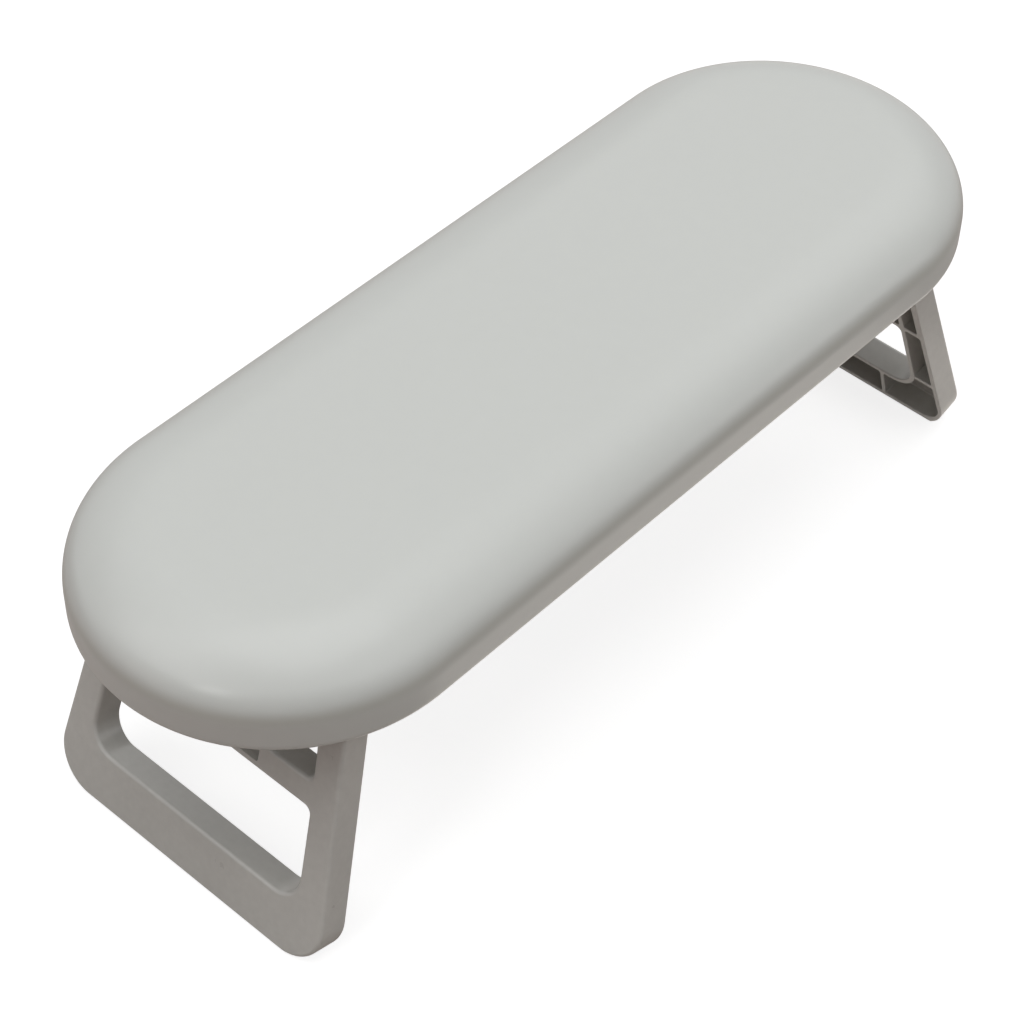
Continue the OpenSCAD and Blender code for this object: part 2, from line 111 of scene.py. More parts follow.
def new_object(name: str, data: bpy.types.ID) -> bpy.types.Object:
    """Makes an object of the data and puts it into the scene.

    Args:
        name: the object's name.
        data: its mesh, light or camera.

    Returns:
        The object.
    """
    obj = bpy.data.objects.new(name, data)
    bpy.context.scene.collection.objects.link(obj)
    return obj


# Surfaces


def grid_faces(rows: int, columns: int, closed: bool) -> np.ndarray:
    """Four-sided faces between neighbouring points of a grid that is stored row by row.

    Args:
        rows: number of rows.
        columns: number of points in a row.
        closed: whether the last column joins the first.

    Returns:
        Vertex numbers, one row of four for each face.
    """
    row = np.arange(rows - 1)[:, None] * columns
    column = np.arange(columns if closed else columns - 1)[None, :]
    after = (column + 1) % columns
    corners = (row + column, row + columns + column, row + columns + after, row + after)
    return np.stack(np.broadcast_arrays(*corners), axis=-1).reshape(-1, 4)


class Surface:
    """One closed surface, gathered from patches whose edges meet point for point."""

    def __init__(self) -> None:
        """Starts with no patch."""
        self.points: list[np.ndarray] = []
        self.faces: list[list[int]] = []
        self.count = 0

    def add(self, points: np.ndarray, faces: np.ndarray) -> None:
        """Adds a patch.

        Args:
            points: array of shape (n, 3).
            faces: vertex numbers within the patch, one row for each face.
        """
        self.faces += (faces + self.count).tolist()
        self.points.append(points)
        self.count += len(points)

    def add_grid(self, grid: np.ndarray, closed: bool = False) -> None:
        """Adds a grid of points with a face between each four neighbours.

        Args:
            grid: array of shape (rows, columns, 3).
            closed: whether the last column joins the first.
        """
        rows, columns = grid.shape[:2]
        self.add(grid.reshape(-1, 3), grid_faces(rows, columns, closed))

    def piece(self, name: str) -> bpy.types.Object:
        """Welds the patches and makes them a smooth shaded object.

        Args:
            name: the object's name.

        Returns:
            The object.
        """
        mesh = bpy.data.meshes.new(name)
        mesh.from_pydata(np.concatenate(self.points), [], self.faces)
        weld_outwards(mesh)
        mesh.shade_smooth()
        mesh.set_sharp_from_angle(angle=SHARP_TURN)
        return new_object(name, mesh)


def weld_outwards(mesh: bpy.types.Mesh) -> None:
    """Merges the points that coincide and points all faces outwards.

    Args:
        mesh: the mesh, changed in place.
    """
    bm = bmesh.new()
    bm.from_mesh(mesh)
    bmesh.ops.remove_doubles(bm, verts=bm.verts, dist=WELD)
    bmesh.ops.recalc_face_normals(bm, faces=bm.faces)
    bm.to_mesh(mesh)
    bm.free()


def flatten_shading(obj: bpy.types.Object) -> None:
    """Lets the large flat faces set the normals where a small round meets them.

    Args:
        obj: the piece, which gets a modifier for it.
    """
    modifier = obj.modifiers.new("flat faces", "WEIGHTED_NORMAL")
    modifier.keep_sharp = True
    modifier.weight = FLAT_FACE_WEIGHT


def unit(vector: np.ndarray) -> np.ndarray:
    """The vectors along the last axis, made one long."""
    return vector / np.linalg.norm(vector, axis=-1, keepdims=True)


def rounded_path(corners: list[Pair], radii: list[float], closed: bool = True) -> np.ndarray:
    """Path through the corners, each rounded by an arc that touches both of its straight runs.

    The arc's ends lie radius / tan(half the inner angle) from the corner, and its centre on the
    bisector at radius / sin(half the inner angle). Its sweep is the one of less than half a turn.
    Long straight runs are then divided evenly.

    Args:
        corners: plan points in order.
        radii: one radius for each corner, zero where it stays sharp or the path ends.
        closed: whether the last corner runs on to the first.

    Returns:
        Array of plan points, shape (n, 2).
    """
    corners = np.array(corners, float)
    count = len(corners)
    stretches = []
    for i, (at, radius) in enumerate(zip(corners, radii)):
        if radius == 0:
            stretches.append(at[None])
            continue
        before = unit(corners[i - 1] - at)
        after = unit(corners[(i + 1) % count] - at)
        half_angle = math.acos(float(np.clip(before @ after, -1, 1))) / 2
        centre = at + unit(before + after) * radius / math.sin(half_angle)
        start = at + before * radius / math.tan(half_angle) - centre
        end = at + after * radius / math.tan(half_angle) - centre
        first = math.atan2(start[1], start[0])
        sweep = (math.atan2(end[1], end[0]) - first + 3 * math.pi) % (2 * math.pi) - math.pi
        steps = max(LEAST_ARC_STEPS, math.ceil(abs(sweep) / ARC_STEP))
        angle = first + sweep * np.linspace(0, 1, steps + 1)
        stretches.append(centre + radius * np.stack([np.cos(angle), np.sin(angle)], axis=1))
    return divided(np.concatenate(stretches), closed)


def divided(path: np.ndarray, closed: bool) -> np.ndarray:
    """The path with each long run divided into equal steps of at most RUN_STEP.

    Point k of a run lies at the run's start plus k / steps of its length and direction.

    Args:
        path: plan points, shape (n, 2).
        closed: whether the last point runs on to the first.

    Returns:
        The path with the further points in it.
    """
    starts = path if closed else path[:-1]
    runs = (np.roll(path, -1, axis=0) if closed else path[1:])[: len(starts)] - starts
    steps = np.maximum(1, np.ceil(np.linalg.norm(runs, axis=1) / RUN_STEP)).astype(int)
    run = np.repeat(np.arange(len(starts)), steps)
    share = (np.arange(len(run)) - np.repeat(np.cumsum(steps) - steps, steps)) / steps[run]
    points = starts[run] + runs[run] * share[:, None]
    return points if closed else np.concatenate([points, path[-1:]])


def air_side(path: np.ndarray, closed: bool) -> np.ndarray:
    """Mitred normals on the right of a path's travel, where the air lies.

    At a point between runs with unit normals a and b the mitre is (a + b) / (1 + a . b), so that a
    path moved along it stays parallel to both runs.

    Args:
        path: plan points, shape (n, 2).
        closed: whether the last point runs on to the first.

    Returns:
        One normal for each point, shape (n, 2).
    """
    ahead = np.roll(path, -1, axis=0) - path
    if not closed:
        ahead[-1] = ahead[-2]
    normal = unit(np.stack([ahead[:, 1], -ahead[:, 0]], axis=1))
    before = np.roll(normal, 1, axis=0)
    if not closed:
        before[0] = normal[0]
    return (before + normal) / (1 + np.sum(before * normal, axis=1, keepdims=True))


def filled(loops: list[np.ndarray]) -> tuple[np.ndarray, np.ndarray]:
    """Triangles that fill the space between closed plan loops.

    The loops' runs are kept as edges of a Delaunay triangulation, on the single-precision values
    that it works with. A triangle is kept if a line from its middle crosses the loops an odd number
    of times.

    Args:
        loops: plan loops, each of shape (n, 2).

    Returns:
        Plan points and the triangles' vertex numbers.
    """
    loops = [(loop / MM).astype(np.float32).astype(float) for loop in loops]
    starts = np.concatenate(loops)
    ends = np.concatenate([np.roll(loop, -1, axis=0) for loop in loops])
    first = np.cumsum([0] + [len(loop) for loop in loops])
    edges = [(a + i, a + (i + 1) % (b - a))
             for a, b in zip(first[:-1], first[1:]) for i in range(b - a)]
    made = delaunay_2d_cdt([Vector(point) for point in starts.tolist()], edges, [], 0, FLAT_WELD, False)
    points = np.array([tuple(point) for point in made[0]])
    triangles = np.array([tuple(face) for face in made[2]])
    middle = points[triangles].mean(axis=1)[:, None]
    spans = (starts[None, :, 1] > middle[..., 1]) != (ends[None, :, 1] > middle[..., 1])
    rise = np.where(spans, ends[None, :, 1] - starts[None, :, 1], 1)
    at = starts[None, :, 0] + (middle[..., 1] - starts[None, :, 1]) / rise * (ends - starts)[None, :, 0]
    crossings = np.sum(spans & (at > middle[..., 0]), axis=1)
    return points * MM, triangles[crossings % 2 == 1]


def stadium(half_run: float, profile: np.ndarray, round_steps: int, run_steps: int) -> np.ndarray:
    """A profile carried round a straight-sided outline with half-round ends.

    Column j stands on the middle line at x_j and faces the direction phi_j, so a profile point of
    reach r and height z lies at (x_j + r cos phi_j, r sin phi_j, z).

    Args:
        half_run: half the length of the straight sides.
        profile: reach and height of each profile point, shape (n, 2).
        round_steps: steps round one end.
        run_steps: steps along one straight side.

    Returns:
        Grid of points, shape (n, columns, 3), that closes on itself.
    """
    turn = np.linspace(-math.pi / 2, math.pi / 2, round_steps + 1)
    run = np.linspace(half_run, -half_run, run_steps + 1)[1:-1]
    middle = np.concatenate([np.full(turn.shape, half_run), run, np.full(turn.shape, -half_run), -run])
    facing = np.concatenate([turn, np.full(run.shape, math.pi / 2), turn + math.pi,
                             np.full(run.shape, 1.5 * math.pi)])
    reach, height = profile[:, :1], profile[:, 1:]
    x = middle[None] + reach * np.cos(facing)[None]
    y = reach * np.sin(facing)[None]
    return np.stack([x, y, np.broadcast_to(height, x.shape)], axis=-1)


def quarter_round(radius: float | np.ndarray, steps: int) -> tuple[np.ndarray, np.ndarray]:
    """Inset and drop of a rounded edge, from the flat face to the wall.

    At the angle a, from 0 to 90 degrees, the inset is radius (1 - sin a), and the drop below the face
    is radius (1 - cos a).

    Args:
        radius: the edge's radius, or a column of radii.
        steps: number of steps round it.

    Returns:
        The inset and the drop at each step.
    """
    angle = np.linspace(0, math.pi / 2, steps + 1)
    return radius * (1 - np.sin(angle)), radius * (1 - np.cos(angle))


def arc(centre: Pair, radius: float, start: float, end: float, steps: int) -> np.ndarray:
    """Points along an arc: centre + radius (cos a, sin a), with a from start to end in degrees."""
    angle = np.radians(np.linspace(start, end, steps + 1))
    return np.array(centre) + radius * np.stack([np.cos(angle), np.sin(angle)], axis=1)


# Shader building

COLOR, VALUE, VECTOR = "NodeSocketColor", "NodeSocketFloat", "NodeSocketVector"


def new_material(name: str) -> tuple[Material, Tree, bpy.types.Node]:
    """Makes a node material.

    Args:
        name: the material's name.

    Returns:
        The material, its node tree and its Principled BSDF.
    """
    material = bpy.data.materials.new(name)
    material.use_nodes = True
    tree = material.node_tree
    return material, tree, tree.nodes["Principled BSDF"]


def feed(tree: Tree, node: bpy.types.Node, inputs: dict[str | int, object]) -> None:
    """Feeds the inputs of a node.

    Args:
        tree: the node's tree.
        node: the node.
        inputs: for each input, by its name or number, a socket to join to it or a value to set.
    """
    for key, value in inputs.items():
        if isinstance(value, Socket):
            tree.links.new(value, node.inputs[key])
        else:
            node.inputs[key].default_value = value


def add_node(tree: Tree, kind: str, inputs: dict[str | int, object] | None = None,
             **settings: object) -> bpy.types.Node:
    """Adds a shader node, sets its properties and feeds its inputs.

    Args:
        tree: the node tree.
        kind: the node's type, without the word ShaderNode.
        inputs: a socket or a value for each input, by its name or number.
        **settings: the node's properties.

    Returns:
        The node.
    """
    node = tree.nodes.new("ShaderNode" + kind)
    for name, value in settings.items():
        setattr(node, name, value)
    feed(tree, node, inputs or {})
    return node


def worked(tree: Tree, operation: str, *values: object) -> Socket:
    """Result of a Math node for sockets or numbers."""
    return add_node(tree, "Math", dict(enumerate(values)), operation=operation).outputs[0]


def vector_worked(tree: Tree, operation: str, *values: object) -> Socket:
    """Result of a Vector Math node for sockets or vectors: a number for a length or a dot product."""
    outputs = add_node(tree, "VectorMath", dict(enumerate(values)), operation=operation).outputs
    return outputs["Value" if operation in ("LENGTH", "DOT_PRODUCT") else "Vector"]


def ramp(tree: Tree, value: Socket, start: float, end: float, low: float = 0, high: float = 1,
         smooth: bool = False) -> Socket:
    """Value that goes from low to high while another goes from start to end, and stays there.

    Args:
        tree: the node tree.
        value: the other value's socket.
        start: where the change starts.
        end: where it ends.
        low: the result up to the start.
        high: the result from the end on.
        smooth: whether the change eases in and out.

    Returns:
        The result's socket.
    """
    inputs = {"Value": value, "From Min": start, "From Max": end, "To Min": low, "To Max": high}
    easing = "SMOOTHSTEP" if smooth else "LINEAR"
    return add_node(tree, "MapRange", inputs, interpolation_type=easing).outputs["Result"]


def blended(tree: Tree, share: Socket, first: object, second: object, multiply: bool = False) -> Socket:
    """Colour that goes from one to another with a share.

    Args:
        tree: the node tree.
        share: the share's socket.
        first: the colour at share 0, a socket or a value.
        second: the colour at share 1, a socket or a value.
        multiply: whether share 1 gives the product of both instead.

    Returns:
        The colour's socket.
    """
    blend = "MULTIPLY" if multiply else "MIX"
    inputs = {0: share, 6: first, 7: second}
    return add_node(tree, "Mix", inputs, data_type="RGBA", blend_type=blend).outputs[2]


def opaque(color: Triple) -> tuple[float, float, float, float]:
    """The colour with full alpha."""
    return (*color, 1)


@dataclass
class EffectGroup:
    """A shader node group with one result that several materials share."""

    name: str
    result: tuple[str, str]
    inputs: tuple[tuple[str, str, object], ...]

    def __post_init__(self) -> None:
        """Makes the group with its sockets."""
        self.tree = bpy.data.node_groups.new(self.name, "ShaderNodeTree")
        for label, kind, value in self.inputs:
            socket = self.tree.interface.new_socket(label, in_out="INPUT", socket_type=kind)
            socket.default_value = value
        label, kind = self.result
        self.tree.interface.new_socket(label, in_out="OUTPUT", socket_type=kind)
        self.given = self.tree.nodes.new("NodeGroupInput").outputs

    def noise(self, scale: str, detail: float) -> Socket:
        """A noise inside the group, at the scale that the named input gives."""
        inputs = {"Vector": self.given["Vector"], "Scale": self.given[scale], "Detail": detail}
        return add_node(self.tree, "TexNoise", inputs).outputs["Fac"]

    def giving(self, result: Socket) -> "EffectGroup":
        """Ends the group with its result, and returns the group."""
        self.tree.links.new(result, self.tree.nodes.new("NodeGroupOutput").inputs[0])
        return self

    def placed(self, tree: Tree, **inputs: object) -> Socket:
        """Places the group in a material.

        Args:
            tree: the material's node tree.
            **inputs: a socket or value for each input by name, with underscores for spaces.

        Returns:
            The result's socket.
        """
        named = {label.replace("_", " "): value for label, value in inputs.items()}
        return add_node(tree, "Group", named, node_tree=self.tree).outputs[0]


def tone_drift_group() -> EffectGroup:
    """Colour that wanders a little, slowly over the piece and faintly in small patches.

    Two noises, one broad and one small, are added and centred on zero. The colour is multiplied by
    one plus the amount times that sum.

    Returns:
        The group.
    """
    group = EffectGroup("tone drift", ("Color", COLOR), (
        ("Vector", VECTOR, (0, 0, 0)), ("Color", COLOR, (0.5, 0.5, 0.5, 1)),
        ("Broad scale", VALUE, 12.0), ("Small scale", VALUE, 160.0), ("Amount", VALUE, 0.1)))
    tree, given = group.tree, group.given
    both = worked(tree, "ADD", group.noise("Broad scale", 3), group.noise("Small scale", 2))
    factor = worked(tree, "MULTIPLY_ADD", worked(tree, "SUBTRACT", both, 1), given["Amount"], 1)
    scaled = add_node(tree, "VectorMath", {0: given["Color"], "Scale": factor}, operation="SCALE")
    return group.giving(scaled.outputs[0])


def fine_relief_group() -> EffectGroup:
    """Height of a finely grained surface, in metres.

    Cells give rounded pebbles with creases between them, and a noise breaks their evenness.
    The height is the depth times the weighted mean of both.

    Returns:
        The group.
    """
    group = EffectGroup("fine relief", ("Height", VALUE), (
        ("Vector", VECTOR, (0, 0, 0)), ("Cell scale", VALUE, 1400.0), ("Noise scale", VALUE, 2600.0),
        ("Depth", VALUE, 1e-5), ("Noise share", VALUE, 0.4)))
    tree, given = group.tree, group.given
    cells = add_node(tree, "TexVoronoi", {"Vector": given["Vector"], "Scale": given["Cell scale"]},
                     feature="DISTANCE_TO_EDGE")
    pebble = ramp(tree, cells.outputs["Distance"], 0, CREASE_REACH, smooth=True)
    parts = {0: given["Noise share"], 2: pebble, 3: group.noise("Noise scale", 2)}
    mixed = add_node(tree, "Mix", parts, data_type="FLOAT").outputs[0]
    return group.giving(worked(tree, "MULTIPLY", mixed, given["Depth"]))


def patchy_gloss_group() -> EffectGroup:
    """Roughness that varies softly about its middle value.

    It is the middle plus the spread times a noise that is doubled and centred on zero.

    Returns:
        The group.
    """
    group = EffectGroup("patchy gloss", ("Roughness", VALUE), (
        ("Vector", VECTOR, (0, 0, 0)), ("Scale", VALUE, 40.0), ("Middle", VALUE, 0.5),
        ("Spread", VALUE, 0.05)))
    tree, given = group.tree, group.given
    centred = worked(tree, "SUBTRACT", group.noise("Scale", 4), 0.5)
    doubled = worked(tree, "MULTIPLY", centred, 2)
    return group.giving(worked(tree, "MULTIPLY_ADD", doubled, given["Spread"], given["Middle"]))


@dataclass(frozen=True)
class Effects:
    """The shared shader groups."""

    tone: EffectGroup
    relief: EffectGroup
    gloss: EffectGroup


@dataclass(frozen=True)
class GrainedFinish:
    """A finish with a wandering tone, a fine relief and patchy gloss, on Object coordinates."""

    name: str
    color: Triple
    roughness: float
    specular: float
    tone_amount: float
    broad_scale: float
    small_scale: float
    cell_scale: float
    relief_depth: float
    noise_share: float
    gloss_spread: float
    metallic: float = 0.0
    stretch: Triple = (1, 1, 1)

    def build(self, effects: Effects) -> Material:
        """Makes the material.

        Args:
            effects: the shared shader groups.

        Returns:
            The material.
        """
        material, tree, shader = new_material(self.name)
        place = add_node(tree, "TexCoord").outputs["Object"]
        vector = add_node(tree, "Mapping", {"Vector": place, "Scale": self.stretch}).outputs["Vector"]
        tone = effects.tone.placed(tree, Vector=vector, Color=opaque(self.color),
                                   Broad_scale=self.broad_scale, Small_scale=self.small_scale,
                                   Amount=self.tone_amount)
        relief = effects.relief.placed(tree, Vector=vector, Depth=self.relief_depth,
                                       Cell_scale=self.cell_scale, Noise_share=self.noise_share,
                                       Noise_scale=NOISE_PER_CELL * self.cell_scale)
        gloss = effects.gloss.placed(tree, Vector=vector, Scale=GLOSS_PER_BROAD * self.broad_scale,
                                     Middle=self.roughness, Spread=self.gloss_spread)
        bump = add_node(tree, "Bump", {"Height": relief, "Distance": 1, "Strength": 1})
        # The base colour takes the finish's painted shade, where it has any.
        feed(tree, shader, {"Base Color": self.marked(tree, place, tone), "Roughness": gloss,
                            "Normal": bump.outputs["Normal"], "Metallic": self.metallic,
                            "Specular IOR Level": self.specular})
        return material

    def marked(self, tree: Tree, place: Socket, color: Socket) -> Socket:
        """Colour with the finish's painted shade on it. A plain finish has none."""
        return color


@dataclass(frozen=True)
class SkinFinish(GrainedFinish):
    """The cover's finish, with a band of painted shade where the skin bends over the tray's edge."""

    # Painted shade round the cover's side: the band's height above the rim, its width and its tint.
    line_height: float = 13.2 * MM
    line_width: float = 1.9 * MM
    line_tint: Triple = (0.872, 0.865, 0.84)

    def marked(self, tree: Tree, place: Socket, color: Socket) -> Socket:
        """Darkens the colour along a band of painted shade round the side.

        At the height z above the rim the colour is multiplied by the painted shade's tint to the share
        exp(-((z - h) / w)^2), with h the band's height and w its width.

        Args:
            tree: the material's node tree.
            place: the Object coordinates' socket.
            color: the colour's socket.

        Returns:
            The colour's socket, darkened by the painted shade.
        """
        height = add_node(tree, "SeparateXYZ", {0: place}).outputs["Z"]
        away = worked(tree, "SUBTRACT", height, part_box("cover_skin")[0].z + self.line_height)
        scaled = worked(tree, "DIVIDE", away, self.line_width)
        square = worked(tree, "MULTIPLY", scaled, scaled)
        # The painted shade's share falls off as a bell on both sides of the band's height.
        painted_shade_share = worked(tree, "POWER", math.exp(-1), square)
        return blended(tree, painted_shade_share, color, opaque(self.line_tint), multiply=True)


# The cover's skin carries the band of painted shade round its side.
COVER_FINISH = SkinFinish("soft grey skin", (0.588, 0.602, 0.578), roughness=0.3, specular=0.5,
                          tone_amount=0.02, broad_scale=9, small_scale=220, cell_scale=1900,
                          relief_depth=6e-6, noise_share=0.45, gloss_spread=0.03)
LEG_FINISH = GrainedFinish("satin leg moulding", (0.568, 0.563, 0.535), roughness=0.3, specular=0.42,
                           tone_amount=0.12, broad_scale=30, small_scale=420, cell_scale=3200,
                           relief_depth=4e-6, noise_share=0.7, gloss_spread=0.06)
TRAY_FINISH = GrainedFinish("satin tray moulding", (0.31, 0.297, 0.275), roughness=0.5, specular=0.45,
                            tone_amount=0.12, broad_scale=22, small_scale=380, cell_scale=2800,
                            relief_depth=6e-6, noise_share=0.7, gloss_spread=0.06)
CAP_FINISH = GrainedFinish("satin cap moulding", (0.28, 0.268, 0.248), roughness=0.48, specular=0.45,
                           tone_amount=0.1, broad_scale=40, small_scale=500, cell_scale=3000,
                           relief_depth=5e-6, noise_share=0.7, gloss_spread=0.06)
STEEL_FINISH = GrainedFinish("bright zinc", (0.62, 0.62, 0.63), roughness=0.3, specular=0.5,
                             tone_amount=0.12, broad_scale=150, small_scale=900, cell_scale=2600,
                             relief_depth=3e-6, noise_share=0.8, gloss_spread=0.1, metallic=1)
SPRING_FINISH = GrainedFinish("drawn spring steel", (0.55, 0.55, 0.57), roughness=0.26, specular=0.5,
                              tone_amount=0.1, broad_scale=120, small_scale=900, cell_scale=2400,
                              relief_depth=3e-6, noise_share=0.9, gloss_spread=0.08, metallic=1,
                              stretch=(1, 0.05, 1))
RUBBER_FINISH = GrainedFinish("soft black rubber", (0.03, 0.03, 0.031), roughness=0.75, specular=0.35,
                              tone_amount=0.15, broad_scale=60, small_scale=700, cell_scale=2200,
                              relief_depth=1.2e-5, noise_share=0.5, gloss_spread=0.05)
PLY_FINISH = GrainedFinish("thin birch board", (0.55, 0.42, 0.27), roughness=0.6, specular=0.35,
                           tone_amount=0.3, broad_scale=25, small_scale=260, cell_scale=900,
                           relief_depth=2e-5, noise_share=0.8, gloss_spread=0.05, stretch=(0.08, 1, 1))


# The padded board


@dataclass
class PaddedBoard:
    """The cushion of the board: foam in one seamless skin that turns under at the lower rim."""

    skin: float = 1 * MM
    side_height: float = 9.9 * MM
    roll_width: float = 24.9 * MM
    roll_radius: float = 13.5 * MM
    rim_radius: float = 3.8 * MM
    skirt_inside: float = 56 * MM
    foam_seat: float = 12.6 * MM
    core_edge: float = 56 * MM
    core_thickness: float = 3 * MM
    crown_ease: float = 6 * MM
    crown_rise: float = 0.1 * MM
    pleat_count: int = 26
    pleat_depth: float = 0.35 * MM
    pleat_sharpness: float = 6
    pleat_fade: float = 1.5
    pleat_start: float = 6 * MM
    round_steps: int = 156
    run_steps: int = 70
    top_steps: int = 9
    ease_steps: int = 16
    roll_steps: int = 26
    side_steps: int = 7
    hem_rows: int = 2
    rim_steps: int = 14
    inner_rim_steps: int = 8
    inner_roll_steps: int = 6

    def __post_init__(self) -> None:
        """Takes the board's outer size from the frame."""
        low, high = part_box("cover_skin")
        self.rim_z = low.z
        self.thickness = high.z - low.z
        self.half_width = high.y
        self.half_run = high.x - high.y

    def outer_profile(self) -> np.ndarray:
        """Reach and height of the skin from the middle line out, down and under.

        The crown arc is tangent to the level top and to the roll arc, so its radius R follows from
        (R - r)^2 = (R - h)^2 + (w - r)^2, with r the roll's radius, w the roll's width and h the
        height from the upright side to the top. Over the ease e on both sides of the top's and the
        crown's joint the slope grows as (s + e)^2 / 4eR with the way s past it, so the curvature grows
        evenly. The top itself rises by a parabola's square.

        Returns:
            Profile points, shape (n, 2).
        """
        radius, roll_height = self.roll_radius, self.thickness - self.side_height
        across = self.roll_width - radius
        crown = (across**2 + roll_height**2 - radius**2) / (2 * (roll_height - radius))
        meet = math.degrees(math.atan2(crown - roll_height, across))
        level = self.half_width - self.roll_width
        ease = self.crown_ease
        crown_arc = arc((level, self.thickness - crown), crown, 90 - math.degrees(ease / crown), meet,
                        self.roll_steps)
        past = np.linspace(-ease, ease, self.ease_steps + 1)
        slope = (past + ease) ** 2 / (4 * ease * crown)
        heading = np.stack([np.cos(slope), -np.sin(slope)], axis=1)
        runs = (heading[1:] + heading[:-1]) / 2 * (past[1] - past[0])
        eased = crown_arc[0] - np.cumsum(runs[::-1], axis=0)[::-1]
        top = np.linspace(0, eased[0, 0], self.top_steps + 1)[:-1]
        rise = self.crown_rise * (1 - (top / eased[0, 0]) ** 2) ** 2
        flat = np.stack([top, eased[0, 1] + rise], axis=1)
        roll_arc = arc((self.half_width - radius, self.side_height), radius, meet, 0, self.roll_steps)
        side = np.linspace(self.side_height, self.rim_radius, self.side_steps + 1)[1:-1]
        upright = np.stack([np.full(side.shape, self.half_width), side], axis=1)
        rim_middle = (self.half_width - self.rim_radius, self.rim_radius)
        rim_arc = arc(rim_middle, self.rim_radius, 0, -90, self.rim_steps)
        return np.concatenate([flat, eased, crown_arc, roll_arc[1:], upright, rim_arc])

    def inner_profile(self) -> np.ndarray:
        """Reach and height from the hem's edge up the tray, over the core board and back in.

        Returns:
            Profile points, shape (n, 2).
        """
        inner_reach = self.half_width - self.skin
        roll_inner = self.roll_radius - self.skin
        seat_turn = math.degrees(math.asin((self.foam_seat - self.side_height) / roll_inner))
        hem = np.array([[self.skirt_inside, 0], [self.skirt_inside, self.skin]])
        rim_inner = arc((self.half_width - self.rim_radius, self.rim_radius),
                        self.rim_radius - self.skin, -90, 0, self.inner_rim_steps)
        roll_arc = arc((inner_reach - roll_inner, self.side_height), roll_inner, 0, seat_turn,
                       self.inner_roll_steps)
        over_core = self.foam_seat + self.core_thickness
        seat = np.array([[self.core_edge, self.foam_seat], [self.core_edge, over_core], [0, over_core]])
        return np.concatenate([hem, rim_inner, roll_arc, seat])

    def pleats(self, grid: np.ndarray, reach: np.ndarray, underneath: np.ndarray) -> None:
        """Presses pleats into the turned-under hem round both ends.

        Each lifts the skin by its depth times a narrow ridge, |cos(count * angle)| to the power of the
        sharpness. It fades out towards the straight sides and the rim.

        Args:
            grid: the cushion's points, changed in place.
            reach: each profile row's reach.
            underneath: 1 for the profile rows of the rim and hem, 0 for the others.
        """
        beyond = np.maximum(np.abs(grid[..., 0]) - self.half_run, 0)
        angle = np.arctan2(grid[..., 1], beyond)
        ridge = np.abs(np.cos(self.pleat_count * angle)) ** self.pleat_sharpness
        at_end = np.clip(beyond / self.pleat_start, 0, 1)
        inwards = np.clip((self.half_width - reach) / (self.half_width - self.skirt_inside), 0, 1)
        fade = inwards**self.pleat_fade * underneath
        grid[..., 2] += self.pleat_depth * ridge * at_end * fade[:, None]

    def build(self, finish: Material) -> bpy.types.Object:
        """Args:
            finish: the skin's material.

        Returns:
            The cushion.
        """
        outer = self.outer_profile()
        profile = np.concatenate([outer, self.inner_profile()])
        grid = stadium(self.half_run, profile, self.round_steps, self.run_steps)
        row = np.arange(len(profile)) - len(outer)
        underneath = ((row > -self.rim_steps) & (row < self.hem_rows)).astype(float)
        self.pleats(grid, profile[:, 0], underneath)
        grid[..., 2] += self.rim_z
        surface = Surface()
        surface.add_grid(grid, closed=True)
        cushion = surface.piece("padded_cushion")
        cushion.data.materials.append(finish)
        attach(cushion, "board")
        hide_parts("cover_skin", "foam_pad")
        return cushion


# The legs


# The top bar's place among the pockets. The slot opens its floor.
BAR_POCKET = 1
# Sorts points of one height outwards: for each metre further out a point counts as this much higher.
SORT_LEAN = 1e-3


def rectangle(left: float, right: float, low: float, high: float) -> list[Pair]:
    """Corners of a rectangle in plan, anticlockwise from the lower left."""
    return [(left, low), (right, low), (right, high), (left, high)]


